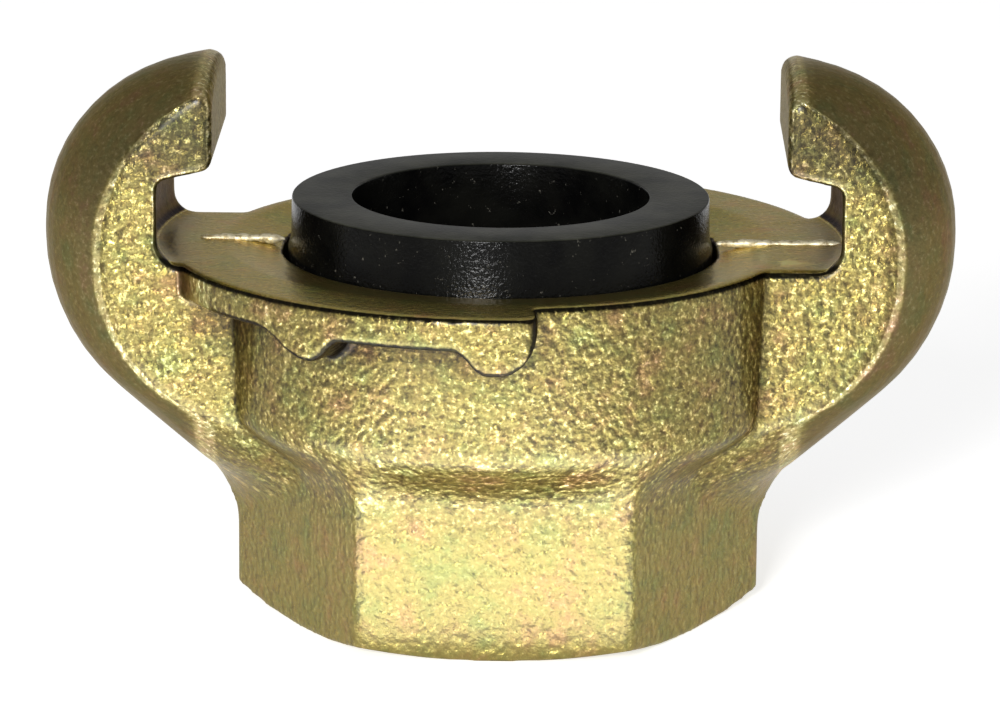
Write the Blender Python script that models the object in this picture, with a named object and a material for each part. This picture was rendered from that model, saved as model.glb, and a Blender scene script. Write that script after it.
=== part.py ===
"""Claw hose coupling with a female thread.

One malleable iron casting and the rubber ring that seals it against its mate. The part stands on its
threaded end, with its axis along +Z and the origin at the centre of the bottom face. The claws lie
along X. Two such couplings are pressed face to face and turned, and the claws of each then hook under
the cam ramps of the other.

Every size below is in millimetres and every angle in degrees, unless a comment says otherwise.
"""
import math

import bmesh
import bpy
from mathutils import Vector

MM = 0.001

# Threaded socket, open at the bottom
THREAD_MINOR_R = 12.06
THREAD_DEPTH = 14.0
SOCKET_CHAMFER = 1.4
RELIEF_DEEPER = 1.3
RELIEF_WIDTH = 2.0
WATERWAY_R = 10.8

# Hexagon for the spanner
HEX_ACROSS_FLATS = 34.4
HEX_CORNER_R = 0.6
HEX_HEIGHT = 10.3
HEX_CHAMFER_DEG = 19.0
HEX_CHAMFER_INSET = 0.05

# Shoulder, drum and flange face above the hexagon
SHOULDER_HEIGHT = 6.3
SHOULDER_STEP = 0.6
DRUM_R = 21.7
DRUM_HEIGHT = 10.95
FLANGE_TOP = HEX_HEIGHT + SHOULDER_HEIGHT + DRUM_HEIGHT
FLANGE_EDGE_R = 0.4
DISH_RIM = 1.2
DISH_R = DRUM_R - DISH_RIM
DISH_DEPTH = 0.55
DISH_BEYOND = 0.2

# Cam ramps: they stand out of the drum, and their angles run round the axis from +X.
# The front one starts inside the arm of the left claw.
RAMP_OVERHANG = 3.4
RAMP_R = DRUM_R + RAMP_OVERHANG
RAMP_THICK = 2.4
RAMP_HIDDEN_DEG = 4.0
RAMP_END_DEG = 277.2
RAMP_EDGE_R = 0.35
RAMP_END_R = 1.0
BUMP_START_DEG = 226.5
BUMP_LOW_DEG = 237.0
BUMP_LEAVE_DEG = 238.0
BUMP_END_DEG = 243.5
BUMP_DROP = 1.85
BETWEEN_DROP = 0.1
STOP_START_DEG = 263.2
STOP_LOW_DEG = 268.6
STOP_LEAVE_DEG = 270.5
STOP_VANISH_DEG = 277.6
STOP_DROP = 1.9

# Claws: the throat is the hook's inside and its wall is part of a cylinder round the axis. The crest
# is the hook's outer line in the middle plane, and the edge the outer line along its two side faces.
# Both are measured from the throat's radius.
CLAW_CLEAR = 42.0
CLAW_WIDTH = 18.7
CLAW_TAPER_DEG = 3.8
CLAW_EDGE_R = 0.55
THROAT_HEIGHT = 6.75
THROAT_DEPTH = 5.5
THROAT_R = CLAW_CLEAR / 2.0 + THROAT_DEPTH
THROAT_FLOOR_R = 1.6
THROAT_FLOOR_BELOW = 0.02
THROAT_ROOF_R = 0.6
NOSE_UNDER = FLANGE_TOP + THROAT_HEIGHT
NOSE_UNDER_RISE = 0.6
NOSE_CORNER_R = 0.9
NOSE_TIP_R = 1.1
CREST_THICK = 7.45
CREST_ABOVE = 1.35
CREST_STRAIGHT = 0.8
CREST_TOP_R = 12.4
CREST_LOWER_R = 14.5
EDGE_THICK = 2.7
EDGE_ABOVE = 0.65
EDGE_STRAIGHT = 0.8
EDGE_TOP_R = 13.6
EDGE_LOWER_R = 12.0
CREST_ROOT_R = 9.0
ROOT_BELOW = 5.65
ROOT_Z = HEX_HEIGHT - ROOT_BELOW
EDGE_ROOT_R = 4.0

# Seal ring and the recess that holds it
SEAL_R = 15.3
SEAL_BORE_R = 11.08
SEAL_PROUD = 3.5
SEAL_EDGE = 0.15
SEAL_SKIRT = 0.6
SEAL_SKIRT_HEIGHT = 1.0
SEAL_SKIRT_SUNK = 0.25
SEAL_FOOT_OUT = 1.1
SEAL_FOOT_HEIGHT = 2.3
SEAL_DEPTH = 5.3
SEAL_CLEARANCE = 0.3

# How finely the curves are cut
BARREL_TURNS_DEG = (-30.0, -25.0, -20.0, -15.0, -10.0, -6.0, -3.0, -1.2,
                    1.2, 3.0, 6.0, 10.0, 15.0, 20.0, 25.0)
ROUND_SEGMENTS = 96
SHOULDER_STEPS = 10
RAMP_STEP_DEG = 1.5
ROOT_POINTS = 8

# How far solids that are joined reach into each other, out of sight
SUNK = 2.0
CLAW_SUNK = 2.7
ROOT_SUNK = 0.2
ROOT_COVER = 1.2


def remove_everything():
    """Start from an empty scene."""
    for item in list(bpy.data.objects):
        bpy.data.objects.remove(item, do_unlink=True)


def make_material(name, colour, roughness, metallic):
    """A plain Principled material."""
    material = bpy.data.materials.new(name)
    material.use_nodes = True
    shader = material.node_tree.nodes["Principled BSDF"]
    shader.inputs["Base Color"].default_value = (*colour, 1.0)
    shader.inputs["Roughness"].default_value = roughness
    shader.inputs["Metallic"].default_value = metallic
    return material


def make_object(name, bm):
    """Close a bmesh into an object whose faces point out."""
    bmesh.ops.remove_doubles(bm, verts=bm.verts, dist=1e-7)
    bmesh.ops.recalc_face_normals(bm, faces=bm.faces)
    bmesh.ops.triangulate(bm, faces=bm.faces)
    mesh = bpy.data.meshes.new(name)
    bm.to_mesh(mesh)
    bm.free()
    item = bpy.data.objects.new(name, mesh)
    bpy.context.collection.objects.link(item)
    return item


def as_cutter(item):
    """Hide a solid that only shapes another one."""
    item.hide_render = True
    item.display_type = "WIRE"
    return item


def combine(item, other, operation):
    """Add a Boolean modifier."""
    modifier = item.modifiers.new(operation.title() + " " + other.name, "BOOLEAN")
    modifier.operation = operation
    modifier.solver = "EXACT"
    modifier.object = as_cutter(other)


def apply_modifiers(item):
    """Keep the finished shape and drop the solids that made it."""
    used = [modifier.object for modifier in item.modifiers]
    graph = bpy.context.evaluated_depsgraph_get()
    finished = bpy.data.meshes.new_from_object(item.evaluated_get(graph))
    item.modifiers.clear()
    item.data = finished
    for other in used:
        bpy.data.objects.remove(other, do_unlink=True)


def finish(item, material, sharp_angle=35.0):
    """Smooth the round faces and give the piece its material."""
    item.data.materials.clear()
    item.data.materials.append(material)
    item.data.shade_smooth()
    item.data.set_sharp_from_angle(angle=math.radians(sharp_angle))


def polar(radius, angle, z):
    """A point in metres from a radius, an angle in degrees and a height."""
    turn = math.radians(angle)
    return Vector((radius * math.cos(turn), radius * math.sin(turn), z)) * MM


def arc(centre, radius, start, end, steps):
    """Points (x, z) along a round stretch of an outline."""
    points = []
    for step in range(steps + 1):
        turn = math.radians(start + (end - start) * step / steps)
        points.append((centre[0] + radius * math.cos(turn), centre[1] + radius * math.sin(turn)))
    return points


def turned_ring(name, profile):
    """Turn a closed outline of (radius, z) points once round Z."""
    bm = bmesh.new()
    corners = [bm.verts.new(Vector((radius, 0.0, z)) * MM) for radius, z in profile]
    outline = [bm.edges.new((corners[i - 1], corners[i])) for i in range(len(corners))]
    bmesh.ops.spin(bm, geom=corners + outline, cent=(0.0, 0.0, 0.0), axis=(0.0, 0.0, 1.0),
                   angle=math.tau, steps=ROUND_SEGMENTS, use_merge=True)
    return make_object(name, bm)


def loft(name, sections):
    """Join outlines that have the same number of points, and cap both ends."""
    bm = bmesh.new()
    rings = [[bm.verts.new(point) for point in section] for section in sections]
    for lower, upper in zip(rings, rings[1:]):
        for i in range(len(lower)):
            bm.faces.new((lower[i - 1], lower[i], upper[i], upper[i - 1]))
    bm.faces.new(rings[0])
    bm.faces.new(rings[-1])
    return make_object(name, bm)


def turned_solid(name, profile):
    """A solid of revolution from (radius, z) points that run from one flat end to the other."""
    turn = 360.0 / ROUND_SEGMENTS
    return loft(name, [[polar(radius, turn * (step + 0.5), z) for step in range(ROUND_SEGMENTS)]
                       for radius, z in profile])


def mirrored_by_half_turn(item, name):
    """A copy of a solid on the opposite side of the axis."""
    other = item.copy()
    other.data = item.data.copy()
    other.name = name
    for corner in other.data.vertices:
        corner.co.x = -corner.co.x
        corner.co.y = -corner.co.y
    bpy.context.collection.objects.link(other)
    return other


def hexagon_radius(offset):
    """Distance from the axis to the hexagon, at an angle from its nearest corner."""
    centre = (HEX_ACROSS_FLATS / 2.0 - HEX_CORNER_R) / math.cos(math.radians(30.0))
    turn = math.radians(abs(offset))
    tangent = math.atan2(HEX_CORNER_R / 2.0, centre + HEX_CORNER_R * math.cos(math.radians(30.0)))
    if turn < tangent:
        return centre * math.cos(turn) + math.sqrt(HEX_CORNER_R**2 - (centre * math.sin(turn))**2)
    return HEX_ACROSS_FLATS / 2.0 / math.cos(math.radians(30.0) - turn)


def barrel_section(blend, z, inset=0.0):
    """An outline that turns from the hexagon (blend 0) into the drum's circle (blend 1)."""
    section = []
    for corner in range(6):
        for offset in BARREL_TURNS_DEG:
            hexagon = hexagon_radius(offset)
            radius = hexagon + (DRUM_R - hexagon) * blend - inset
            section.append(polar(radius, 60.0 * corner + offset, z))
    return section


def make_barrel():
    """The hexagon, the S-shaped shoulder above it and the plain drum, as one loft.

    SHOULDER_STEP is the share of the shoulder's height at which it is half way out to the drum.
    """
    lean = math.log(0.5) / math.log(SHOULDER_STEP)
    sections = [barrel_section(0.0, 0.0)]
    for step in range(SHOULDER_STEPS + 1):
        share = step / SHOULDER_STEPS
        blend = 0.5 - 0.5 * math.cos(math.pi * share**lean)
        sections.append(barrel_section(blend, HEX_HEIGHT + SHOULDER_HEIGHT * share))
    for turn in (0.0, 30.0, 60.0, 90.0):
        inset = FLANGE_EDGE_R * (1.0 - math.cos(math.radians(turn)))
        rise = FLANGE_EDGE_R * (1.0 - math.sin(math.radians(turn)))
        sections.append(barrel_section(1.0, FLANGE_TOP - rise, inset))
    return loft("coupling_body", sections)


def make_bottom_chamfer():
    """The cone that trims the hexagon's corners at the bottom, as on a nut."""
    start = HEX_ACROSS_FLATS / 2.0 - HEX_CHAMFER_INSET
    slope = math.tan(math.radians(HEX_CHAMFER_DEG))
    profile = [(start - SUNK / slope, -SUNK), (start + DRUM_R, DRUM_R * slope),
               (start + DRUM_R, FLANGE_TOP + SUNK)]
    return turned_solid("chamfer_cone", profile)


def ramp_depth(angle):
    """How far the underside of a cam ramp lies below the flange top.

    The stop at its free end is rounded by an ellipse, which would close just past the end.
    """
    stops = ((0.0, 0.0), (BUMP_START_DEG, 0.0), (BUMP_LOW_DEG, BUMP_DROP),
             (BUMP_LEAVE_DEG, BUMP_DROP), (BUMP_END_DEG, BETWEEN_DROP),
             (STOP_START_DEG, BETWEEN_DROP), (STOP_LOW_DEG, STOP_DROP), (STOP_LEAVE_DEG, STOP_DROP))
    for (here, low), (there, high) in zip(stops, stops[1:]):
        if angle <= there:
            share = 0.5 - 0.5 * math.cos(math.pi * (angle - here) / (there - here))
            return RAMP_THICK + low + (high - low) * share
    past = (angle - STOP_LEAVE_DEG) / (STOP_VANISH_DEG - STOP_LEAVE_DEG)
    return (RAMP_THICK + STOP_DROP) * math.sqrt(1.0 - past**2)


def ramp_section(angle):
    """The outline of a cam ramp across its length, rounded towards its free end."""
    left = math.radians(RAMP_END_DEG - angle) * RAMP_R
    shrink = 0.0
    if left < RAMP_END_R:
        shrink = RAMP_END_R - math.sqrt(RAMP_END_R**2 - (RAMP_END_R - left)**2)
    out = RAMP_R - shrink
    low = FLANGE_TOP - ramp_depth(angle)
    high = FLANGE_TOP
    outline = [(DRUM_R - SUNK, low), (DRUM_R - SUNK, high)]
    outline += arc((out - RAMP_EDGE_R, high - RAMP_EDGE_R), RAMP_EDGE_R, 90.0, 0.0, 2)
    outline += arc((out - RAMP_EDGE_R, low + RAMP_EDGE_R), RAMP_EDGE_R, 0.0, -90.0, 2)
    return [polar(radius, angle, z) for radius, z in outline]


def make_ramp(name):
    """The cam ramp that starts inside the arm of the left claw and runs round the front."""
    start = 180.0 + math.degrees(math.asin(claw_half(FLANGE_TOP) / RAMP_R)) - RAMP_HIDDEN_DEG
    count = round((RAMP_END_DEG - start) / RAMP_STEP_DEG)
    angles = [start + (RAMP_END_DEG - start) * step / count for step in range(count)]
    round_deg = math.degrees(RAMP_END_R / RAMP_R)
    angles = [angle for angle in angles if angle < RAMP_END_DEG - round_deg]
    angles += [RAMP_END_DEG - round_deg * share for share in (1.0, 0.5, 0.2, 0.0)]
    return loft(name, [ramp_section(angle) for angle in angles])


def claw_half(z):
    """Half the width of a claw at a height; it tapers towards the nose."""
    return CLAW_WIDTH / 2.0 - (z - FLANGE_TOP) * math.tan(math.radians(CLAW_TAPER_DEG))


def hook_curve(thick, above, straight, top_r, lower_r, root_x, root_z, root_r):
    """The outer line of a claw from its tip to its root, tangent all the way.

    An arc comes over the top and a second one turns under the arm. The straight that follows is the
    line that touches both the second arc and the fillet at the root, so it needs no slope of its own.
    The fillet is never larger than the room under the second arc.
    """
    reach = THROAT_R + thick
    reach_z = FLANGE_TOP + above
    tip_x = CLAW_CLEAR / 2.0 + NOSE_TIP_R
    tip_angle = math.degrees(math.acos((tip_x - reach + top_r) / top_r))
    lower = Vector((reach - lower_r, reach_z - straight))
    root_r = min(root_r, lower.y - root_z - lower_r)
    root = Vector((root_x + root_r, root_z))
    between = root - lower
    turn = math.atan2(between.y, between.x) + math.acos((lower_r + root_r) / between.length)
    touch = Vector((math.cos(turn), math.sin(turn)))
    fall = math.degrees(turn)
    points = arc((reach - top_r, reach_z), top_r, tip_angle, 0.0, 12)
    points += arc(lower, lower_r, 0.0, fall, 7)
    points.append(tuple((lower + touch * lower_r + root - touch * root_r) / 2.0))
    points += arc(root, root_r, 180.0 + fall, 180.0, ROOT_POINTS - 2)
    return points


def throat_outline(tip_z, inner_x, wall_x):
    """The inner line of a claw: from inside the drum, over the throat, to the tip.

    The throat's floor lies a hair below the flange top, so that no two faces share one plane.
    """
    nose_x = CLAW_CLEAR / 2.0
    deep = FLANGE_TOP - RAMP_THICK - SUNK
    floor = FLANGE_TOP - THROAT_FLOOR_BELOW
    points = [(inner_x, ROOT_Z + ROOT_COVER), (inner_x, deep), (DRUM_R - CLAW_SUNK, deep),
              (DRUM_R - CLAW_SUNK, floor)]
    points += arc((wall_x - THROAT_FLOOR_R, floor + THROAT_FLOOR_R), THROAT_FLOOR_R, -90.0, 0.0, 4)
    roof = NOSE_UNDER - NOSE_UNDER_RISE
    points += arc((wall_x - THROAT_ROOF_R, roof - THROAT_ROOF_R), THROAT_ROOF_R, 0.0, 75.0, 3)
    points += arc((nose_x + NOSE_CORNER_R, NOSE_UNDER + NOSE_CORNER_R), NOSE_CORNER_R, 260.0, 180.0, 4)
    points += arc((nose_x + NOSE_TIP_R, tip_z - NOSE_TIP_R), NOSE_TIP_R, 180.0, 90.0, 4)[:-1]
    return points


def crown(y, sag):
    """Share of the crown at a distance y from the claw's middle, for a circular arc."""
    half = CLAW_WIDTH / 2.0
    radius = (half**2 + sag**2) / (2.0 * sag)
    return (math.sqrt(radius**2 - y**2) - radius + sag) / sag


def inset_outline(points, distance):
    """Move a closed outline inwards by a distance."""
    if distance == 0.0:
        return points
    moved = []
    for i, (x, z) in enumerate(points):
        before = Vector(points[i - 1])
        after = Vector(points[(i + 1) % len(points)])
        along = (after - before).normalized()
        moved.append((x + along.y * distance, z - along.x * distance))
    return moved


def claw_section(y, inset):
    """The outline of the right claw at y, where y is measured as if the claw had no taper."""
    half = CLAW_WIDTH / 2.0
    corner_x = hexagon_radius(0.0) - ROOT_SUNK
    flat_x = corner_x - claw_half(ROOT_Z) * math.tan(math.radians(30.0))
    crest = hook_curve(CREST_THICK, CREST_ABOVE, CREST_STRAIGHT, CREST_TOP_R, CREST_LOWER_R,
                       corner_x, ROOT_Z, CREST_ROOT_R)
    edge = hook_curve(EDGE_THICK, EDGE_ABOVE, EDGE_STRAIGHT, EDGE_TOP_R, EDGE_LOWER_R,
                      flat_x, HEX_HEIGHT, EDGE_ROOT_R)
    outer = []
    root_from = len(crest) - ROOT_POINTS
    for i, (high, low) in enumerate(zip(crest, edge)):
        sag = math.dist(high, low)
        share = crown(y, sag)
        flatten = max(0.0, (i - root_from) / (ROOT_POINTS - 1))
        flatten = flatten * flatten * (3.0 - 2.0 * flatten)
        share = share + (1.0 - abs(y) / half - share) * flatten
        outer.append((low[0] + (high[0] - low[0]) * share, low[1] + (high[1] - low[1]) * share))
    wall_x = math.sqrt(THROAT_R**2 - y**2)
    outline = throat_outline(outer[0][1], flat_x - ROOT_COVER, wall_x) + outer
    return [Vector((x, y * claw_half(z) / half, z)) * MM for x, z in inset_outline(outline, inset)]


def make_claw(name):
    """The right claw with its arm and its root on the hexagon's corner."""
    half = CLAW_WIDTH / 2.0
    inner = [half - CLAW_EDGE_R] + [half * share for share in (0.82, 0.66, 0.5, 0.34, 0.17)]
    stations = [(half, CLAW_EDGE_R), (half - 0.3 * CLAW_EDGE_R, 0.3 * CLAW_EDGE_R)]
    stations += [(y, 0.0) for y in inner]
    sections = [claw_section(-y, inset) for y, inset in stations]
    sections.append(claw_section(0.0, 0.0))
    sections += [claw_section(y, inset) for y, inset in reversed(stations)]
    return loft(name, sections)


def make_bore():
    """Everything cut from the casting on its axis: socket, waterway, seal recess and dish."""
    mouth = SEAL_R + SEAL_SKIRT + SEAL_CLEARANCE
    groove = mouth + SEAL_FOOT_OUT
    floor = FLANGE_TOP - SEAL_DEPTH - SEAL_CLEARANCE
    groove_top = floor + SEAL_FOOT_HEIGHT + 2.0 * SEAL_CLEARANCE
    relief = THREAD_MINOR_R + RELIEF_DEEPER
    relief_top = THREAD_DEPTH + RELIEF_WIDTH
    dish_slope = DISH_DEPTH / (DISH_R - mouth)
    beyond = DISH_R + DISH_BEYOND
    above = (FLANGE_TOP + NOSE_UNDER) / 2.0
    profile = [
        (THREAD_MINOR_R + SOCKET_CHAMFER, -SUNK),
        (THREAD_MINOR_R + SOCKET_CHAMFER, 0.0),
        (THREAD_MINOR_R, SOCKET_CHAMFER),
        (THREAD_MINOR_R, THREAD_DEPTH),
        (relief, THREAD_DEPTH + 0.5 * RELIEF_DEEPER),
        (relief, relief_top),
        (WATERWAY_R, relief_top + 0.5 * (relief - WATERWAY_R)),
        (WATERWAY_R, floor),
        (groove, floor),
        (groove, groove_top),
        (mouth, groove_top),
        (mouth, FLANGE_TOP - DISH_DEPTH),
        (beyond, FLANGE_TOP + (beyond - DISH_R) * dish_slope),
        (beyond, above),
    ]
    return turned_solid("bore_cutter", profile)


def make_seal():
    """The rubber ring: a foot in the recess, a flared skirt and the sealing lip."""
    neck = SEAL_R + SEAL_SKIRT
    foot = neck + SEAL_FOOT_OUT
    bottom = FLANGE_TOP - SEAL_DEPTH
    top = FLANGE_TOP + SEAL_PROUD
    skirt = FLANGE_TOP - SEAL_SKIRT_SUNK
    profile = [
        (SEAL_BORE_R, bottom),
        (foot, bottom),
        (foot, bottom + SEAL_FOOT_HEIGHT),
        (neck, bottom + SEAL_FOOT_HEIGHT),
        (neck, skirt),
        (SEAL_R, skirt + SEAL_SKIRT_HEIGHT),
        (SEAL_R, top - SEAL_EDGE),
        (SEAL_R - SEAL_EDGE, top),
        (SEAL_BORE_R + SEAL_EDGE, top),
        (SEAL_BORE_R, top - SEAL_EDGE),
    ]
    return turned_ring("seal_ring", profile)


def make_body():
    """The casting: barrel, ramps and claws joined, then bored."""
    body = make_barrel()
    combine(body, make_bottom_chamfer(), "INTERSECT")
    ramp = make_ramp("ramp_front")
    claw = make_claw("claw_right")
    for other in (ramp, mirrored_by_half_turn(ramp, "ramp_back"),
                  claw, mirrored_by_half_turn(claw, "claw_left")):
        combine(body, other, "UNION")
    combine(body, make_bore(), "DIFFERENCE")
    apply_modifiers(body)
    return body


def main():
    """Build the two pieces."""
    remove_everything()
    plated_iron = make_material("chromated_iron", (0.62, 0.52, 0.27), 0.42, 0.85)
    rubber = make_material("seal_rubber", (0.025, 0.025, 0.027), 0.6, 0.0)
    finish(make_body(), plated_iron)
    finish(make_seal(), rubber)


main()
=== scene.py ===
# %% [markdown]
# # A claw hose coupling
#
# This lesson dresses the CAD model of a compressed-air coupling. The real thing is one malleable iron
# casting, zinc plated and yellow chromated, with a black rubber ring in its top. The CAD model has the
# right sizes but crisp edges and flat colours. Here the casting gets its grain, soft edges, parting
# line and thread, and the ring gets its moulded edges and its dull rubber.

# %% Load the CAD frame
import math

import bmesh
import bpy
from mathutils import Matrix, Vector, noise


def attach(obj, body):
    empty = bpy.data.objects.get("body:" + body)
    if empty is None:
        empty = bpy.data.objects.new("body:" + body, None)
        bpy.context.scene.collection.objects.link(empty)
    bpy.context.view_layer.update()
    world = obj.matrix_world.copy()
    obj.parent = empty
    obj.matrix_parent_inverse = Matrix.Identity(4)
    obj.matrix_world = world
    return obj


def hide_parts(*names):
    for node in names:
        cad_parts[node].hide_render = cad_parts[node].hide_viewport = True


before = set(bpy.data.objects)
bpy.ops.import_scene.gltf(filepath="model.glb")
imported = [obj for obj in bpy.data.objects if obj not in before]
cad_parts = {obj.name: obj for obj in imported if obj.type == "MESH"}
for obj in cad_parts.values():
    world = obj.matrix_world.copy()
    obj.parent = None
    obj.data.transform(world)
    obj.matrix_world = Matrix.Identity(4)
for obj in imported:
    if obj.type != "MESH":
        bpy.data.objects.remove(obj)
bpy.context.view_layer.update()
MM = 0.001

# %% [markdown]
# The camera comes first, because everything else is judged through it. The photograph was taken from
# about 14 degrees above the horizon with a long lens, and the coupling was turned a little under one
# degree. The camera could be pushed about until the view looks alike, but numbers that are solved from
# the photograph put every edge in its place. A long lens is a narrow angle from far away, and it keeps
# the claws from spreading.

# %% Camera
CAMERA_DISTANCE = 400.0
CAMERA_ELEVATION = 14.11
CAMERA_TURN = 0.754
CAMERA_ROLL = 0.487
CAMERA_LENS = 191.70
CAMERA_SENSOR = 36.0
CAMERA_CLIP = (0.02, 20.0)
LOOK_AT = Vector((0.045, 0.0, 18.832))


def turn_by(degrees, axis):
    """A rotation by some degrees about an axis."""
    return Matrix.Rotation(math.radians(degrees), 4, axis)


def add_camera():
    """Stand the camera where the photographer stood."""
    lens = bpy.data.cameras.new("camera")
    lens.lens = CAMERA_LENS
    lens.sensor_width = CAMERA_SENSOR
    lens.clip_start, lens.clip_end = CAMERA_CLIP
    camera = bpy.data.objects.new("camera", lens)
    bpy.context.collection.objects.link(camera)
    turned = turn_by(CAMERA_TURN, "Z")
    tilted = turn_by(90.0 - CAMERA_ELEVATION, "X")
    rolled = turn_by(CAMERA_ROLL, "Z")
    moved = Matrix.Translation(Vector((0.0, 0.0, CAMERA_DISTANCE * MM)))
    aimed = Matrix.Translation(turned @ LOOK_AT * MM)
    camera.matrix_world = aimed @ turned @ tilted @ rolled @ moved
    bpy.context.scene.camera = camera
    print("camera at mm", [round(c / MM, 1) for c in camera.matrix_world.translation])


add_camera()

# %% [markdown]
# A finish is a tree of nodes, and a tree that is written link by link hides what it is for. So a few
# helpers come first. One adds a node and sets its sockets by name, one joins a source to a socket, and
# a source is a node or a node with the name of its output. Every pattern reads Object coordinates in
# metres, so it sits still on its piece, and a scale of 1000 gives one feature a millimetre.

# %% Node helpers


def set_up(node, **settings):
    """Set a node: names with a capital letter are sockets, the rest are properties."""
    for name, value in settings.items():
        if name[0].isupper():
            node.inputs[name.replace("_", " ")].default_value = value
        else:
            setattr(node, name, value)
    return node


def add_node(tree, kind, **settings):
    """Add a shader node and set it."""
    return set_up(tree.nodes.new(kind), **settings)


def join(tree, source, target, socket):
    """Link a source, which is a node or a (node, output) pair, to another node's input."""
    node, output = source if isinstance(source, tuple) else (source, 0)
    tree.links.new(node.outputs[output], target.inputs[socket])


def start_material(name):
    """A material with its tree and its Principled shader."""
    material = bpy.data.materials.new(name)
    material.use_nodes = True
    tree = material.node_tree
    return material, tree, tree.nodes["Principled BSDF"]


def object_noise(tree, place, scale, detail, roughness):
    """A noise that reads Object coordinates."""
    pattern = add_node(tree, "ShaderNodeTexNoise", Scale=scale, Detail=detail, Roughness=roughness)
    join(tree, (place, "Object"), pattern, "Vector")
    return pattern, "Fac"


def split(tree, vector):
    """The X, Y and Z of a vector."""
    parts = add_node(tree, "ShaderNodeSeparateXYZ")
    join(tree, vector, parts, "Vector")
    return parts


def add_bump(tree, height, distance, strength, below=None):
    """A bump from a pattern, on top of another bump; its strength is a number or a source."""
    bump = add_node(tree, "ShaderNodeBump", Distance=distance)
    join(tree, height, bump, "Height")
    if isinstance(strength, float):
        set_up(bump, Strength=strength)
    else:
        join(tree, strength, bump, "Strength")
    if below is not None:
        join(tree, below, bump, "Normal")
    return bump


# %% [markdown]
# A finish asks the same questions again and again, and these helpers answer them. A colour ramp turns a
# noise into named colours. A fade turns a height, a direction or a shade into a number between two
# values, softly, which is how one zone of the casting differs from the next without a visible border.
# Two zones meet where their product is 1, and a point is in either of them where the larger one is 1.

# %% Ramps, fades and zones
WHITE = (1.0, 1.0, 1.0)
WHOLE = (0.0, 1.0)
# A Mix node has sockets for every kind of data. These are the places of its colour sockets.
MIX_FIRST, MIX_SECOND, MIX_RESULT = 6, 7, 2


def colour_ramp(tree, source, *stops):
    """A colour ramp from (position, colour) stops, fed by a source."""
    ramp = add_node(tree, "ShaderNodeValToRGB")
    elements = ramp.color_ramp.elements
    elements[0].position, elements[0].color = stops[0][0], (*stops[0][1], 1.0)
    elements[1].position, elements[1].color = stops[-1][0], (*stops[-1][1], 1.0)
    for position, colour in stops[1:-1]:
        elements.new(position).color = (*colour, 1.0)
    join(tree, source, ramp, "Fac")
    return ramp


def fade(tree, source, limits, low, high):
    """A soft change from low to high while the source goes from one limit to the other."""
    start, end = limits
    change = add_node(tree, "ShaderNodeMapRange", interpolation_type="SMOOTHSTEP",
                      From_Min=start, From_Max=end, To_Min=low, To_Max=high)
    join(tree, source, change, "Value")
    return change


def weigh(tree, zone, factor):
    """1 outside a zone, and the factor inside it."""
    return fade(tree, zone, WHOLE, 1.0, factor)


def calculate(tree, operation, *sources):
    """A Math node over one or two sources."""
    node = add_node(tree, "ShaderNodeMath", operation=operation)
    for socket, source in enumerate(sources):
        join(tree, source, node, socket)
    return node


def either(tree, first, second):
    """Where at least one of two zones is."""
    return calculate(tree, "MAXIMUM", first, second)


def overlap(tree, zone, *others):
    """Where all the zones meet, or the product of some shades."""
    for other in others:
        zone = calculate(tree, "MULTIPLY", zone, other)
    return zone


def blend_colours(tree, kind, first, second, share=None):
    """Mix two colours, or a colour and a number, as far as the share says."""
    mix = add_node(tree, "ShaderNodeMix", data_type="RGBA", blend_type=kind, Factor=1.0)
    if share is not None:
        join(tree, share, mix, "Factor")
    join(tree, first, mix, MIX_FIRST)
    join(tree, second, mix, MIX_SECOND)
    return mix, MIX_RESULT


# %% [markdown]
# The background of the photograph is pure white. It could be painted out afterwards, but then the
# shadow would go too. So the floor is a wide disc of pale paint, and it glows a little for rays that
# come from the camera, a mirror or glass: it looks white there, and the shadow under the coupling stays.

# %% Floor
FLOOR_RADIUS = 4.0
FLOOR_GLOW = 0.66
FLOOR_DROP = 0.02


def floor_paint():
    """Matte white paint that glows for the camera."""
    material, tree, shader = start_material("white_floor")
    set_up(shader, Base_Color=(0.86, 0.86, 0.86, 1.0), Roughness=0.9, Specular_IOR_Level=0.0,
           Emission_Color=(1.0, 1.0, 1.0, 1.0))
    path = add_node(tree, "ShaderNodeLightPath")
    seen = either(tree, (path, "Is Camera Ray"), (path, "Is Glossy Ray"))
    seen_or_glass = either(tree, seen, (path, "Is Transmission Ray"))
    glow = fade(tree, seen_or_glass, WHOLE, 0.0, FLOOR_GLOW)
    join(tree, glow, shader, "Emission Strength")
    return material


def add_floor():
    """A wide white disc just under the coupling."""
    bm = bmesh.new()
    bmesh.ops.create_circle(bm, cap_ends=True, segments=96, radius=FLOOR_RADIUS)
    mesh = bpy.data.meshes.new("floor")
    bm.to_mesh(mesh)
    bm.free()
    floor = bpy.data.objects.new("floor", mesh)
    floor.location.z = -FLOOR_DROP * MM
    bpy.context.collection.objects.link(floor)
    mesh.materials.append(floor_paint())
    print("floor of", 2.0 * FLOOR_RADIUS, "m across, glow", FLOOR_GLOW)


add_floor()

# %% [markdown]
# A coupling is all curved metal, so what it mirrors matters more than what falls on it. One big soft box
# would light it evenly and leave the metal flat. An upright wall seen from 14 degrees above mirrors the
# floor in front of it, which is why a bright card lies there. A small soft box beside the camera puts
# the sparkle in the grain. The room is pale at the horizon and darker overhead, so that the flat top
# stays calmer than the front.

# %% Lights
HORIZON_BAND = (0.12, 0.5)
CARD_HEIGHT = 0.3
CARD_COLOUR = (0.95, 1.0, 1.18)


def add_lamp(name, shape, power):
    """An area light with its lamp."""
    lamp = bpy.data.lights.new(name, "AREA")
    lamp.shape = shape
    lamp.energy = power
    light = bpy.data.objects.new(name, lamp)
    bpy.context.collection.objects.link(light)
    return light, lamp


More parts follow.
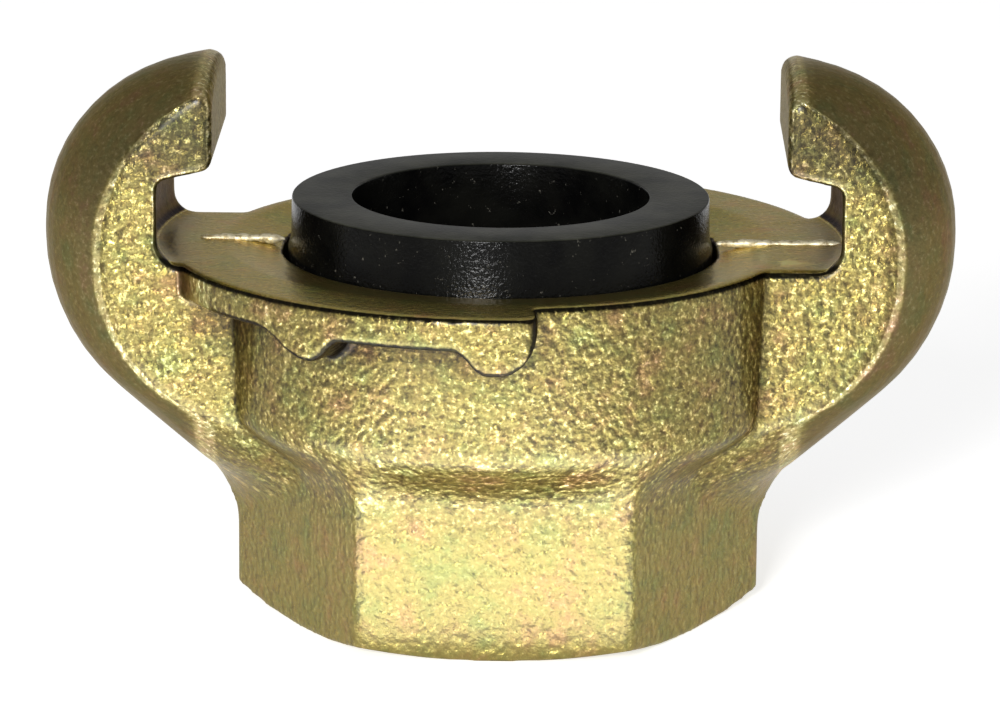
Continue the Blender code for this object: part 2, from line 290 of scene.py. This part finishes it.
def add_world(horizon, overhead):
    """A studio that is pale at the horizon and grey overhead."""
    world = bpy.data.worlds.new("studio")
    world.use_nodes = True
    tree = world.node_tree
    room = set_up(tree.nodes["Background"], Color=(1.0, 1.0, 1.0, 1.0))
    place = add_node(tree, "ShaderNodeTexCoord")
    direction = split(tree, (place, "Generated"))
    height = fade(tree, (direction, "Z"), HORIZON_BAND, horizon, overhead)
    join(tree, height, room, "Strength")
    bpy.context.scene.world = world


def add_soft_box(name, azimuth, elevation, distance, size, power):
    """A square light that looks at the coupling."""
    light, lamp = add_lamp(name, "SQUARE", power)
    lamp.size = size
    turn, rise = math.radians(azimuth), math.radians(elevation)
    flat = math.cos(rise)
    away = Vector((math.sin(turn) * flat, -math.cos(turn) * flat, math.sin(rise)))
    light.location = LOOK_AT * MM + away * distance
    light.rotation_mode = "QUATERNION"
    light.rotation_quaternion = away.to_track_quat("Z", "Y")


def add_card(width, near, far, left, power):
    """A card that lies in front of the coupling and throws light up at its face."""
    card, lamp = add_lamp("card", "RECTANGLE", power)
    lamp.size = width * MM
    lamp.size_y = (far - near) * MM
    lamp.color = CARD_COLOUR
    card.location = Vector((left, -(near + far) / 2.0, CARD_HEIGHT)) * MM
    card.rotation_euler = (math.pi, 0.0, 0.0)


add_world(horizon=0.62, overhead=0.28)
add_soft_box("key", azimuth=-11.0, elevation=19.0, distance=0.60, size=0.11, power=2.6)
add_card(width=84.0, near=21.0, far=86.0, left=-8.0, power=0.06)
bpy.context.scene.view_settings.view_transform = "Standard"

# %% [markdown]
# The casting doesn't look the same all over. The claws' outer backs are smooth, and the flange is
# smoother than the drum. Some zones also carry painted light and shade: the outer backs get painted
# shade, their crests a painted reflection of the sky, the noses and the inner sides of the tips painted
# shade, and the flange top is painted lighter. Painting these by hand would need a map. Here each zone
# is a product of soft limits on a point's place and on the way it faces, so the borders stay soft and
# need no seam.

# %% Zones of the casting
# Heights and distances from the axis in metres, between which one zone turns into the next.
HEXAGON_TO_DRUM = (0.008, 0.013)
FLANGE_TO_HOOK = (0.0285, 0.0305)
THROAT_TO_NOSE = (0.0315, 0.0365)
DRUM_TO_CLAW = (0.0205, 0.024)
# Parts of the normal, and the product of a point's X and its normal's X, which tells inner from outer.
SIDE_TO_FRONT = (0.72, 0.96)
SLANTED_TO_LEVEL = (0.75, 0.97)
UPRIGHT_TO_SKYWARD = (0.2, 0.8)
SIDE_TO_INNER = (-0.008, -0.018)
# How much of the cast roughness is left on the hexagon and on the smooth zones.
HEXAGON_GRAIN, SMOOTH_GRAIN = 0.25, 0.3


def iron_zones(tree, place):
    """How far a point belongs to each zone of the casting, from 0 to 1."""
    spot = split(tree, (place, "Object"))
    facing = split(tree, (place, "Normal"))
    from_axis = calculate(tree, "ABSOLUTE", (spot, "X"))
    face_on = calculate(tree, "ABSOLUTE", (facing, "Y"))
    inner_side = calculate(tree, "MULTIPLY", (spot, "X"), (facing, "X"))
    level = fade(tree, (facing, "Z"), SLANTED_TO_LEVEL, 0.0, 1.0)
    below_hooks = fade(tree, (spot, "Z"), FLANGE_TO_HOOK, 1.0, 0.0)
    top = overlap(tree, level, below_hooks)
    on_claw = fade(tree, from_axis, DRUM_TO_CLAW, 0.0, 1.0)
    turned_away = fade(tree, face_on, SIDE_TO_FRONT, 1.0, 0.0)
    back = overlap(tree, on_claw, turned_away, weigh(tree, top, 0.0))
    skyward = fade(tree, (facing, "Z"), UPRIGHT_TO_SKYWARD, 0.0, 1.0)
    up_the_hook = fade(tree, (spot, "Z"), THROAT_TO_NOSE, 0.0, 1.0)
    face_shown = fade(tree, face_on, SIDE_TO_FRONT, 0.0, 1.0)
    inward = fade(tree, inner_side, SIDE_TO_INNER, 0.0, 1.0)
    smooth = either(tree, back, top)
    off_hexagon = fade(tree, (spot, "Z"), HEXAGON_TO_DRUM, HEXAGON_GRAIN, 1.0)
    # back, crest, nose, tip and top set painted light and shade on the colour, top also the roughness;
    # smooth and rough set the bumps.
    return {
        "top": top,
        "back": back,
        "crest": overlap(tree, back, skyward),
        "nose": overlap(tree, up_the_hook, face_shown),
        "tip": overlap(tree, up_the_hook, inward),
        "smooth": smooth,
        "rough": overlap(tree, off_hexagon, weigh(tree, smooth, SMOOTH_GRAIN)),
    }


# %% [markdown]
# Painted shade darkens the casting where shadow falls: under the cam ramps, in the slopes that face the
# locking direction, and in a thin line along the flange's upper edge. Lines drawn on the mesh would have
# to follow every curve. The place and the normal find these edges by themselves, and the cross product
# of the two tells which way round the axis a slope is turned, without measuring any angle.

# %% Dark edges of ramps and flange
# Heights and distances in metres again, then parts of the normal and of the cross product.
DRUM_TO_RAMP = (0.0195, 0.0205)
DRUM_TO_ARM = (0.0155, 0.0175)
RAMP_TO_CLAW = (0.019, 0.0225)
LIP_START = (0.0262, 0.0268)
LIP_END = (0.0278, 0.0284)
PARTING_TO_LIP = (0.0008, 0.0016)
UPRIGHT_TO_HANGING = (-0.08, -0.45)
UPRIGHT_TO_RISING = (0.15, 0.45)
RISING_TO_LEVEL = (0.80, 0.97)
ROUND_TO_SLOPE = (0.007, 0.015)


def dark_edges(tree, place):
    """How far a point gets painted shade, under a ramp's hanging edges and along the flange's upper
    edge.
    """
    spot = split(tree, (place, "Object"))
    facing = split(tree, (place, "Normal"))
    turning = add_node(tree, "ShaderNodeVectorMath", operation="CROSS_PRODUCT")
    join(tree, (place, "Object"), turning, 0)
    join(tree, (place, "Normal"), turning, 1)
    turned = split(tree, turning)
    from_axis = calculate(tree, "ABSOLUTE", (spot, "X"))
    from_parting = calculate(tree, "ABSOLUTE", (spot, "Y"))
    hanging = fade(tree, (facing, "Z"), UPRIGHT_TO_HANGING, 0.0, 1.0)
    steep = fade(tree, (turned, "Z"), ROUND_TO_SLOPE, 0.0, 1.0)
    off_arm = fade(tree, from_axis, DRUM_TO_ARM, 1.0, 0.0)
    off_claw = fade(tree, from_axis, RAMP_TO_CLAW, 1.0, 0.0)
    above_drum_middle = fade(tree, (spot, "Z"), DRUM_TO_RAMP, 0.0, 1.0)
    hidden = either(tree, hanging, overlap(tree, steep, off_arm))
    under = overlap(tree, hidden, off_claw, above_drum_middle)
    rising = fade(tree, (facing, "Z"), UPRIGHT_TO_RISING, 0.0, 1.0)
    not_level = fade(tree, (facing, "Z"), RISING_TO_LEVEL, 1.0, 0.0)
    near_top = fade(tree, (spot, "Z"), LIP_START, 0.0, 1.0)
    below_hooks = fade(tree, (spot, "Z"), LIP_END, 1.0, 0.0)
    off_parting = fade(tree, from_parting, PARTING_TO_LIP, 0.0, 1.0)
    lip = overlap(tree, rising, not_level, near_top, below_hooks, off_parting)
    # Both are painted shade, by which the casting's colour is multiplied.
    return either(tree, under, lip)


# %% [markdown]
# The casting's colour is what the eye notices first. The yellow chromate over the zinc shifts between
# olive, gold and a faint red, which a photograph of real chromate could give, but it would repeat and
# show seams. A noise with large features paints those shifts, a fine one scatters pale specks, and the
# grain of the sand has dark pits. Three things change with the place: corners get painted shade, convex
# edges go pale with wear and a painted highlight, and the backs of the claws get a painted highlight
# along their front edge and a greyer tone that goes with their painted shade.

# %% Colour of the chromated iron
CORNER_REACH = 0.006
NO_PALE_EDGES = (0.1, 0.7)
# The colour of a painted highlight along the front edge of the claws' backs.
PAINTED_RIM_HIGHLIGHT = (2.4, 2.5, 3.9)


def iron_colour(tree, place, coarse, zones, unlit):
    """The chromate's tint under specks, pits, painted corner shade, pale edges and the backs' painted
    highlight, as one colour.
    """
    patches = object_noise(tree, place, scale=330.0, detail=5.0, roughness=0.66)
    specks = object_noise(tree, place, scale=2900.0, detail=3.0, roughness=0.6)
    # Ambient occlusion: the colour is darkened in corners and under overhangs as painted shade.
    corner = add_node(tree, "ShaderNodeAmbientOcclusion", samples=8, only_local=True,
                      Distance=CORNER_REACH)
    bend = add_node(tree, "ShaderNodeNewGeometry")
    # The pale edges are kept off the claws' backs and off the painted-shade edges.
    worn_and_highlit_share = fade(tree, either(tree, zones["back"], unlit), NO_PALE_EDGES, 1.0, 0.0)
    tint = colour_ramp(
        tree, patches,
        (0.34, (0.205, 0.202, 0.052)),
        (0.46, (0.252, 0.209, 0.054)),
        (0.55, (0.270, 0.210, 0.055)),
        (0.68, (0.298, 0.186, 0.064)),
    )
    dust = colour_ramp(
        tree, specks,
        (0.36, (0.60, 0.58, 0.54)),
        (0.52, (0.88, 0.88, 0.88)),
        (0.58, (1.15, 1.15, 1.25)),
        (0.66, (2.4, 2.5, 3.6)),
    )
    pits = colour_ramp(tree, coarse, (0.33, (0.50, 0.45, 0.40)), (0.46, WHITE))
    # Painted shade: the colour goes nearly black where corners are occluded.
    painted_corner_shade = colour_ramp(
        tree, (corner, "AO"),
        (0.38, (0.04, 0.028, 0.02)),
        (0.66, (0.36, 0.30, 0.24)),
        (0.86, (0.95, 0.94, 0.92)),
        (0.95, WHITE),
    )
    # Convex edges go pale, partly as wear on the zinc and partly as a painted highlight.
    edges = colour_ramp(tree, (bend, "Pointiness"), (0.53, WHITE), (0.60, (2.2, 2.25, 3.0)))
    # A painted highlight: a pale band where the claws' backs turn into their front faces.
    rim_highlight = colour_ramp(
        tree, zones["back"], (0.01, WHITE), (0.06, PAINTED_RIM_HIGHLIGHT), (0.42, PAINTED_RIM_HIGHLIGHT), (0.62, WHITE),
    )
    # The claws' backs, which get painted shade, also turn a greyer tone.
    greyer = colour_ramp(tree, zones["back"], (0.45, WHITE), (0.9, (1.0, 0.98, 1.4)))
    colour = tint
    layers = (
        (dust, zones["rough"]), (pits, zones["rough"]), (painted_corner_shade, None), (edges, worn_and_highlit_share), (rim_highlight, None),
        (greyer, None),
    )
    for layer, share in layers:
        colour = blend_colours(tree, "MULTIPLY", colour, layer, share)
    return colour


# %% [markdown]
# Now the metal comes together. Chromated zinc is a dim gold mirror under a thin clear film. A plain
# metal would give golden highlights only, so it gets a coat, and the coat gives the whiter ones. Three
# bumps, from waves to grit, break up the mirror as the sand of the mould did, and each zone turns them
# up or down. The colour is multiplied by painted shade on the backs, noses, tips and dark edges and by
# painted light on the crests and the flange top, and the coat is thinner where the shade is painted.

# %% Chromated iron
# Painted light and shade: factors on the colour of the crests, noses, tips and flange top, and of the
# claws' backs (BACK_SHADE).
PAINTED_LIGHT_AND_SHADE = {"crest": 1.45, "nose": 0.34, "tip": 0.3, "top": 2.4}
BACK_LIMITS, BACK_SHADE = (0.45, 0.9), 0.62
DARK_EDGE_SHADE = 0.06
CAST_ROUGHNESS, FLANGE_ROUGHNESS = 0.34, 0.22
FILM, SHADED_FILM, TIP_FILM = 0.5, 0.2, 0.1
SMOOTH_BUMP = 0.22
# Heights of the three bumps, in metres.
WAVES, SAND, GRIT = 0.00018, 0.00015, 0.00004


def chromated_iron():
    """Yellow chromated zinc over a grainy sand casting, with pale edges and painted light and shade by
    zone.
    """
    material, tree, shader = start_material("chromated_iron")
    place = add_node(tree, "ShaderNodeTexCoord")
    ripple = object_noise(tree, place, scale=1000.0, detail=1.0, roughness=0.5)
    coarse = object_noise(tree, place, scale=2000.0, detail=2.0, roughness=0.5)
    fine = object_noise(tree, place, scale=5200.0, detail=2.0, roughness=0.6)
    zones = iron_zones(tree, place)
    unlit = dark_edges(tree, place)
    colour = iron_colour(tree, place, coarse, zones, unlit)
    # Painted light and shade, multiplied into the colour zone by zone.
    shade = fade(tree, zones["back"], BACK_LIMITS, 1.0, BACK_SHADE)
    for zone, factor in PAINTED_LIGHT_AND_SHADE.items():
        shade = overlap(tree, shade, weigh(tree, zones[zone], factor))
    shade = overlap(tree, shade, weigh(tree, unlit, DARK_EDGE_SHADE))
    join(tree, blend_colours(tree, "MULTIPLY", colour, shade), shader, "Base Color")
    set_up(shader, Metallic=0.9, Specular_Tint=(0.46, 0.38, 0.21, 1.0), Coat_Roughness=0.28,
           Coat_IOR=1.5)
    gloss = fade(tree, zones["top"], WHOLE, CAST_ROUGHNESS, FLANGE_ROUGHNESS)
    join(tree, gloss, shader, "Roughness")
    # The coat is thinner on the backs and the dark edges, so their painted shade stays dark.
    film = fade(tree, either(tree, zones["back"], unlit), WHOLE, FILM, SHADED_FILM)
    varnish = overlap(tree, film, weigh(tree, zones["tip"], TIP_FILM))
    join(tree, varnish, shader, "Coat Weight")
    calm = weigh(tree, zones["smooth"], SMOOTH_BUMP)
    waves = add_bump(tree, ripple, WAVES, calm)
    sand = add_bump(tree, coarse, SAND, calm, waves)
    grit = add_bump(tree, fine, GRIT, 0.6, sand)
    join(tree, grit, shader, "Normal")
    print(material.name, "has", len(tree.nodes), "nodes")
    return material


IRON = chromated_iron()

# %% [markdown]
# The parting ridge stands proud, so every hand and every crate rubs it. The chromate is gone there and
# pale zinc shows, duller than polished metal, and the pale colour also stands in as a painted highlight
# on the ridge's crest. It could be a zone of the casting's finish, but the ridge is a piece of its own,
# so a short material of its own is simpler to read.

# %% Rubbed iron
RUBBED_GRAIN = 0.0001


def rubbed_and_highlit_iron():
    """Pale zinc with a little grain where the chromate is worn off, its paleness partly a painted
    highlight.
    """
    material, tree, shader = start_material("rubbed_and_highlit_iron")
    place = add_node(tree, "ShaderNodeTexCoord")
    grain = object_noise(tree, place, scale=1800.0, detail=2.0, roughness=0.6)
    # A pale colour: worn zinc and a painted highlight on the ridge.
    tint = colour_ramp(tree, grain, (0.36, (0.50, 0.40, 0.20)), (0.52, (0.95, 0.86, 0.62)))
    join(tree, tint, shader, "Base Color")
    set_up(shader, Metallic=0.6, Roughness=0.5)
    join(tree, add_bump(tree, grain, RUBBED_GRAIN, 0.6), shader, "Normal")
    print(material.name, "has", len(tree.nodes), "nodes")
    return material


RUBBED_AND_HIGHLIT_IRON = rubbed_and_highlit_iron()

# %% [markdown]
# Moulded rubber is nearly black, and it is dull rather than matte: its edges and its flat top catch a
# soft grey sheen when they are seen at a low angle. A plain black paint would look like a hole. Here a
# low refractive index keeps the upright wall black, and what faces up gets a paler colour in a slow
# noise, which keeps the top from looking like paint.

# %% Rubber
UPRIGHT_TO_PALER_TOP = (0.3, 0.95)
UPRIGHT_TO_DULL = (0.3, 0.9)
PALER_TOP_SHARE = 0.75
WALL_ROUGHNESS, TOP_ROUGHNESS = 0.17, 0.42
PORES = 0.00004


def seal_rubber():
    """Dull black moulded rubber with specks of dust on it and a paler colour on what faces up."""
    material, tree, shader = start_material("seal_rubber")
    place = add_node(tree, "ShaderNodeTexCoord")
    cloud = object_noise(tree, place, scale=300.0, detail=4.0, roughness=0.6)
    pores = object_noise(tree, place, scale=3500.0, detail=2.0, roughness=0.6)
    dots = object_noise(tree, place, scale=1700.0, detail=3.0, roughness=0.7)
    facing = split(tree, (place, "Normal"))
    tint = colour_ramp(tree, cloud, (0.35, (0.002, 0.002, 0.002)), (0.65, (0.006, 0.006, 0.005)))
    dust = colour_ramp(tree, dots, (0.66, (0.0, 0.0, 0.0)), (0.72, (0.09, 0.085, 0.07)))
    # What faces up is paler, in a slow noise.
    paler_top_tint = colour_ramp(tree, cloud, (0.35, (0.026, 0.027, 0.02)), (0.65, (0.07, 0.07, 0.052)))
    dusty = blend_colours(tree, "ADD", tint, dust)
    paler_top_share = fade(tree, (facing, "Z"), UPRIGHT_TO_PALER_TOP, 0.0, PALER_TOP_SHARE)
    join(tree, blend_colours(tree, "MIX", dusty, paler_top_tint, paler_top_share), shader, "Base Color")
    dull = fade(tree, (facing, "Z"), UPRIGHT_TO_DULL, WALL_ROUGHNESS, TOP_ROUGHNESS)
    join(tree, dull, shader, "Roughness")
    set_up(shader, IOR=1.19)
    join(tree, add_bump(tree, pores, PORES, 0.9), shader, "Normal")
    print(material.name, "has", len(tree.nodes), "nodes")
    return material


RUBBER = seal_rubber()

# %% [markdown]
# Every finished piece goes the same way: its mesh is linked, it gets its material, it rides on the one
# rigid body and it fills a material slot. Modifiers could stay live, but applied at once they leave no
# doubt: the mesh that is seen is the piece's own mesh.

# %% Piece helpers
ORIGIN = (0.0, 0.0, 0.0)
ALONG_X = (1.0, 0.0, 0.0)
ALONG_Z = (0.0, 0.0, 1.0)


def new_object(name, bm, material):
    """Make a finished piece from a bmesh and let it ride on the part."""
    mesh = bpy.data.meshes.new(name)
    bm.to_mesh(mesh)
    bm.free()
    piece = bpy.data.objects.new(name, mesh)
    bpy.context.collection.objects.link(piece)
    mesh.materials.append(material)
    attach(piece, "root")
    return piece


def apply_all(piece):
    """Turn the modifiers' result into the piece's own mesh."""
    graph = bpy.context.evaluated_depsgraph_get()
    mesh = bpy.data.meshes.new_from_object(piece.evaluated_get(graph))
    piece.modifiers.clear()
    old = piece.data
    piece.data = mesh
    bpy.data.meshes.remove(old)


# %% [markdown]
# The casting itself starts from a copy of the CAD mesh, so its sizes are right without measuring
# anything. A CAD mesh is loose triangles, so the doubles are merged first. The bore is then widened to
# the thread's major diameter, because the thread is a piece of its own. A voxel remesh turns the crisp
# solid into an even net of small quads, and smoothing that net rounds every edge the way sand does. A
# bevel on each edge would keep the quads fewer, but it fails where many curved edges meet. Fine quads
# are wasted where the casting is flat, so a decimation takes them back out there.

# %% Casting
THREAD_MINOR_R = 12.06
THREAD_MAJOR_R = 13.22
THREAD_TOP = 14.0
MERGE_DISTANCE = 1e-6
BORE_MARGIN = 0.1
BORE_CLEARANCE = 0.05
VOXEL = 0.28
CAST_TRIANGLES = 186000


def widen_bore(bm):
    """Push the threaded bore's wall from the minor out to the major radius."""
    for corner in bm.verts:
        radius = corner.co.xy.length
        on_wall = abs(radius - THREAD_MINOR_R * MM) < BORE_MARGIN * MM
        if on_wall and corner.co.z < (THREAD_TOP + BORE_MARGIN) * MM:
            corner.co.xy *= (THREAD_MAJOR_R + BORE_CLEARANCE) * MM / radius


def cast_body():
    """The casting with soft edges and a widened bore."""
    bm = bmesh.new()
    bm.from_mesh(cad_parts["coupling_body"].data)
    bmesh.ops.remove_doubles(bm, verts=bm.verts, dist=MERGE_DISTANCE)
    widen_bore(bm)
    piece = new_object("cast_body", bm, IRON)
    remesh = piece.modifiers.new("even net", "REMESH")
    remesh.mode = "VOXEL"
    remesh.voxel_size = VOXEL * MM
    soften = piece.modifiers.new("round edges", "SMOOTH")
    soften.factor = 0.5
    soften.iterations = 2
    apply_all(piece)
    thin_out = piece.modifiers.new("fewer on flats", "DECIMATE")
    thin_out.ratio = CAST_TRIANGLES / (2.0 * len(piece.data.polygons))
    apply_all(piece)
    piece.data.shade_smooth()
    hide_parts("coupling_body")
    triangles = sum(len(face.vertices) - 2 for face in piece.data.polygons)
    print("casting", len(piece.data.polygons), "faces,", triangles, "triangles")


cast_body()

# %% [markdown]
# The female thread is a 55 degree pipe thread, and it is only seen from below. A bump texture could
# draw its grooves, but its ends and its outline would stay flat. A thread is one small outline carried
# round the axis while it climbs, and that is exactly what a spin with a rise per step does. Both ends
# of the thread fade into the wall, as a tap leaves them.

# %% Thread
THREAD_PITCH = 1.814
THREAD_STEPS = 72
THREAD_START = 1.0
THREAD_LOW, THREAD_HIGH = 0.4, THREAD_TOP - 0.6
THREAD_FADE = 1.2
THREAD_WALL_R = THREAD_MAJOR_R + 0.14
# Radius in mm, and height as a share of the pitch.
THREAD_FORM = (
    (THREAD_WALL_R, -0.5), (13.20, -0.44), (13.08, -0.38), (12.24, -0.12), (12.10, -0.06),
    (THREAD_MINOR_R, 0.0), (12.10, 0.06), (12.24, 0.12), (13.08, 0.38), (13.20, 0.44),
    (THREAD_WALL_R, 0.5),
)


def fade_thread(bm):
    """Let both ends of the thread run out into the wall."""
    low, high = THREAD_LOW * MM, THREAD_HIGH * MM
    for corner in bm.verts:
        near_end = min(corner.co.z - low, high - corner.co.z) / (THREAD_FADE * MM)
        share = max(0.0, min(1.0, near_end))
        radius = corner.co.xy.length
        corner.co.xy *= (THREAD_WALL_R * MM * (1.0 - share) + radius * share) / radius
        corner.co.z = max(corner.co.z, low)


def thread():
    """One ridge that climbs round the bore, facing the axis."""
    bm = bmesh.new()
    turns = int(THREAD_TOP / THREAD_PITCH) - 1
    corners = [bm.verts.new(Vector((radius, 0.0, THREAD_START + share * THREAD_PITCH)) * MM)
               for radius, share in THREAD_FORM]
    outline = [bm.edges.new(pair) for pair in zip(corners, corners[1:])]
    rise = Vector((0.0, 0.0, THREAD_PITCH * MM / THREAD_STEPS))
    bmesh.ops.spin(bm, geom=corners + outline, cent=ORIGIN, axis=ALONG_Z, dvec=rise,
                   angle=math.tau * turns, steps=THREAD_STEPS * turns)
    fade_thread(bm)
    bmesh.ops.recalc_face_normals(bm, faces=bm.faces)
    flat = Vector((1.0, 1.0, 0.0))
    outward = sum(face.normal.dot(face.calc_center_median() * flat) for face in bm.faces)
    if outward > 0.0:
        bmesh.ops.reverse_faces(bm, faces=bm.faces)
    piece = new_object("pipe_thread", bm, IRON)
    piece.data.shade_smooth()
    print("thread", turns, "turns,", len(piece.data.polygons), "faces")


thread()

# %% [markdown]
# The two halves of the sand mould met in the plane through both claws, and the metal that crept between
# them left a thin uneven ridge across the flange. It could be a line in the finish, but a real ridge
# catches the light on its crest. So it is a ring of points carried along a line, then pushed about by a
# noise that is the same in every run, and it looks squeezed rather than drawn.

# %% Parting line
FLANGE_TOP = 27.55
RIDGE_STEPS = 70
RIDGE_SIDES = 10
RIDGE_R = 0.36
RIDGE_SUNK = 0.06
RIDGE_END, RIDGE_TAPER = 0.35, 8.0
RIDGE_SWELL, RIDGE_SWELL_NOISE = 0.85, 0.4
RIDGE_WANDER = 0.16
RIDGE_GRAIN = 0.05
# How many features of each noise there are in a millimetre.
SWELL_RATE, WANDER_RATE, GRAIN_RATE = 0.9, 0.35, 2.2
WANDER_START = Vector((0.0, 7.0, 0.0))


def squeeze(bm, start, end):
    """Make a straight round bar swell, wander and thin out at its ends."""
    for corner in bm.verts:
        along = Vector((corner.co.x / MM, 0.0, 0.0))
        share = (corner.co.x / MM - start) / (end - start)
        taper = min(1.0, RIDGE_TAPER * min(share, 1.0 - share) + RIDGE_END)
        swell = taper * (RIDGE_SWELL + RIDGE_SWELL_NOISE * noise.noise(along * SWELL_RATE))
        grain = RIDGE_GRAIN * noise.noise(corner.co / MM * GRAIN_RATE)
        wander = RIDGE_WANDER * noise.noise(along * WANDER_RATE + WANDER_START)
        above = corner.co.z - FLANGE_TOP * MM
        corner.co.y = corner.co.y * swell + (wander + grain) * MM
        corner.co.z = (FLANGE_TOP - RIDGE_SUNK) * MM + above * swell + grain * MM


def parting_line(name, start, end):
    """A wavy half-sunk ridge on the flange from start to end along X."""
    bm = bmesh.new()
    made = bmesh.ops.create_circle(bm, cap_ends=False, segments=RIDGE_SIDES, radius=RIDGE_R * MM)
    upright = Matrix.Rotation(math.pi / 2.0, 3, "Y")
    bmesh.ops.rotate(bm, verts=made["verts"], cent=ORIGIN, matrix=upright)
    bmesh.ops.translate(bm, verts=made["verts"], vec=Vector((start, 0.0, FLANGE_TOP)) * MM)
    step = Vector(((end - start) * MM / RIDGE_STEPS, 0.0, 0.0))
    bmesh.ops.spin(bm, geom=bm.verts[:] + bm.edges[:], cent=ORIGIN, axis=ALONG_X, dvec=step,
                   angle=0.0, steps=RIDGE_STEPS)
    rims = [edge for edge in bm.edges if edge.is_boundary]
    bmesh.ops.holes_fill(bm, edges=rims, sides=RIDGE_SIDES)
    squeeze(bm, start, end)
    bmesh.ops.recalc_face_normals(bm, faces=bm.faces)
    piece = new_object(name, bm, RUBBED_AND_HIGHLIT_IRON)
    piece.data.shade_smooth()
    print(name, round(abs(end - start), 1), "mm long")


parting_line("parting_line_right", 16.1, 25.6)
parting_line("parting_line_left", -22.4, -16.1)

# %% [markdown]
# The seal is a turned shape with a foot that is held in the recess, a neck and a lip that stands proud.
# It could be put together from rings, but they would have to be joined. Spinning one outline once round
# the axis makes all of it, and a bevel on the sharp corners gives the small radius that a rubber mould
# leaves.

# %% Seal ring
# Radius and height in mm, once round the outline.
SEAL_PROFILE = (
    (11.08, 22.25), (17.0, 22.25), (17.0, 24.55), (15.9, 24.55), (15.85, 27.25), (15.62, 27.9),
    (15.56, 31.05), (11.08, 31.05),
)
SEAL_STEPS = 144
SEAL_CORNER_R = 0.15
BEVELLED_FROM = math.radians(40.0)
SHADED_SHARP_FROM = math.radians(35.0)


def seal_ring():
    """Turn the ring's outline once round the axis and round its corners."""
    bm = bmesh.new()
    corners = [bm.verts.new(Vector((radius, 0.0, height)) * MM) for radius, height in SEAL_PROFILE]
    outline = [bm.edges.new((corners[i - 1], corners[i])) for i in range(len(corners))]
    bmesh.ops.spin(bm, geom=corners + outline, cent=ORIGIN, axis=ALONG_Z, angle=math.tau,
                   steps=SEAL_STEPS, use_merge=True)
    bmesh.ops.recalc_face_normals(bm, faces=bm.faces)
    sharp = [edge for edge in bm.edges if edge.calc_face_angle() > BEVELLED_FROM]
    bmesh.ops.bevel(bm, geom=sharp, offset=SEAL_CORNER_R * MM, segments=3, profile=0.5,
                    affect="EDGES", material=-1)
    piece = new_object("rubber_seal", bm, RUBBER)
    piece.data.shade_smooth()
    piece.data.set_sharp_from_angle(angle=SHADED_SHARP_FROM)
    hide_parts("seal_ring")
    print("seal", len(piece.data.polygons), "faces")


seal_ring()
